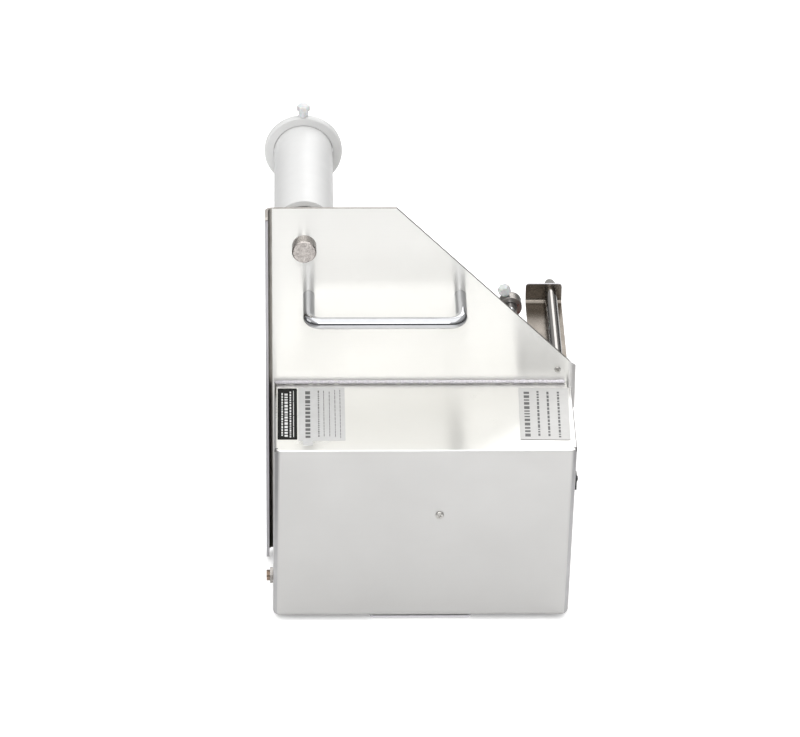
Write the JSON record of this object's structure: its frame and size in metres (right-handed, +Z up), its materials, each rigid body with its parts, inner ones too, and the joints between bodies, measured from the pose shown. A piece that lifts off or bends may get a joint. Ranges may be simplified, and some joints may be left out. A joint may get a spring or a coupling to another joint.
{
  "type": "label dispenser",
  "caption": "Bench-top label dispenser: an upright bent sheet with a drive box and carry handle on one side, and a roll spindle, strip bar, rollers and liner rewind on the other.",
  "frame": {"origin": "middle of the bounding box's underside, on the table", "axes": "+X to the operator's side, where labels come off; +Y from the drive box to the label side; +Z up"},
  "size_m": [0.318, 0.3504, 0.417],
  "materials": {
    "polished_steel": "polished sheet with faint vertical grain",
    "satin_steel": "satin",
    "chrome_bar": "bright chrome",
    "zinc_steel": "zinc plated, dull",
    "bare_aluminium": "machined",
    "brass": "machined",
    "white_plastic": "smooth",
    "nylon": "translucent moulded",
    "black_plastic": "fine moulded texture",
    "black_rubber": "matte",
    "red_rubber": "ground matte",
    "board": "lacquered",
    "white_film": "printed film",
    "silver_film": "metallised film",
    "black_film": "printed film",
    "bead": "silver sealant"
  },
  "bodies": {
    "frame": {"main_plate": "polished_steel", "drive_box_cover": "satin_steel", "seam_seal": "bead", "cover_standoff": "zinc_steel", "cover_screw": "zinc_steel", "rod_screw": "zinc_steel", "foot_plate": "satin_steel", "foot_pad_1": "black_rubber", "foot_pad_2": "black_rubber", "foot_pad_3": "black_rubber", "foot_pad_4": "black_rubber", "foot_bracket": "satin_steel", "sticker_black": "black_film", "sticker_silver": "silver_film", "sticker_white": "white_film", "carry_handle": "chrome_bar", "handle_bolt_rear": "zinc_steel", "handle_bolt_front": "zinc_steel", "supply_bush": "brass", "guide_rod": "chrome_bar", "strip_tray": "satin_steel", "strip_rod": "chrome_bar", "rod_nut": "zinc_steel", "sensor_rail": "chrome_bar", "pinch_pivot": "zinc_steel", "pinch_spring": "zinc_steel", "drive_bush": "brass", "rewind_bush": "brass", "drive_belt": "black_rubber", "motor_bracket": "satin_steel", "gear_motor": "zinc_steel", "control_board": "board", "power_jack": "brass", "jack_nut": "zinc_steel", "switch_body": "black_plastic"},
    "supply": {"supply_spindle": "chrome_bar", "spindle_knob": "zinc_steel", "supply_tube": "white_plastic", "tube_hub_inner": "white_plastic", "tube_hub_outer": "white_plastic"},
    "roll_stop": {"roll_flange": "white_plastic"},
    "roll_stop_screw": {"roll_flange_screw": "nylon"},
    "inner_guide": {"guide_collar_inner": "zinc_steel"},
    "outer_guide": {"guide_collar_outer": "zinc_steel"},
    "outer_guide_screw": {"guide_collar_screw": "nylon"},
    "sensor": {"label_sensor": "black_plastic"},
    "pinch": {"pinch_arm": "satin_steel", "pinch_axle": "zinc_steel"},
    "pinch_wheel": {"pinch_roller": "black_rubber"},
    "drive": {"drive_shaft": "zinc_steel", "drive_pulley": "bare_aluminium", "drive_roller": "red_rubber"},
    "rewind": {"rewind_shaft": "zinc_steel", "rewind_pulley": "bare_aluminium", "rewind_disc": "satin_steel", "rewind_hub": "bare_aluminium"},
    "clip": {"rewind_clip": "chrome_bar"},
    "motor": {"motor_shaft": "zinc_steel", "motor_pulley": "bare_aluminium"},
    "rocker": {"switch_rocker": "black_plastic"}
  },
  "joints": [
    {"name": "supply_spin", "type": "hinge", "parent": "frame", "child": "supply", "pos_m": [-0.1187, 0.06115, 0.364], "axis": [0, 1, 0], "continuous": true},
    {"name": "roll_stop_slide", "type": "slide", "parent": "supply", "child": "roll_stop", "axis": [0, 1, 0], "range_m": [-0.15, 0]},
    {"name": "roll_stop_screw_turn", "type": "hinge", "parent": "roll_stop", "child": "roll_stop_screw", "pos_m": [-0.1187, 0.16515, 0.4], "axis": [0, 0, 1], "range_deg": [0, 180]},
    {"name": "inner_guide_slide", "type": "slide", "parent": "frame", "child": "inner_guide", "axis": [0, 1, 0], "range_m": [0, 0.06]},
    {"name": "outer_guide_slide", "type": "slide", "parent": "frame", "child": "outer_guide", "axis": [0, 1, 0], "range_m": [-0.06, 0]},
    {"name": "outer_guide_screw_turn", "type": "hinge", "parent": "outer_guide", "child": "outer_guide_screw", "pos_m": [0.098, 0.11965, 0.2044], "axis": [-0.342, 0, 0.9397], "range_deg": [0, 180]},
    {"name": "sensor_slide", "type": "slide", "parent": "frame", "child": "sensor", "axis": [0, 1, 0], "range_m": [-0.05, 0.04]},
    {"name": "rewind_spin", "type": "hinge", "parent": "frame", "child": "rewind", "pos_m": [-0.069, 0.04115, 0.12], "axis": [0, 1, 0], "continuous": true},
    {"name": "clip_slide", "type": "slide", "parent": "rewind", "child": "clip", "axis": [0, 1, 0], "range_m": [0, 0.15]},
    {"name": "drive_spin", "type": "hinge", "parent": "frame", "child": "drive", "pos_m": [0.106, 0.04115, 0.15], "axis": [0, 1, 0], "continuous": true},
    {"name": "motor_spin", "type": "hinge", "parent": "frame", "child": "motor", "pos_m": [0.065, -0.06885, 0.084], "axis": [0, 1, 0], "continuous": true},
    {"name": "pinch_open", "type": "hinge", "parent": "frame", "child": "pinch", "pos_m": [0.136, 0.05115, 0.105], "axis": [0, 1, 0], "range_deg": [0, 25], "stiffness_Nm_per_rad": 0.8, "springref_deg": -20.05},
    {"name": "pinch_spin", "type": "hinge", "parent": "pinch", "child": "pinch_wheel", "pos_m": [0.128, 0.05115, 0.1373], "axis": [0, 1, 0], "continuous": true},
    {"name": "switch_rock", "type": "hinge", "parent": "frame", "child": "rocker", "pos_m": [0.15096, -0.14885, 0.1532], "axis": [0, 1, 0], "range_deg": [-22, 0]}
  ],
  "couplings": [
    {"joint": "drive_spin", "follows": "rewind_spin", "ratio": 1.3333},
    {"joint": "motor_spin", "follows": "rewind_spin", "ratio": 2},
    {"joint": "pinch_spin", "follows": "rewind_spin", "ratio": -2}
  ]
}
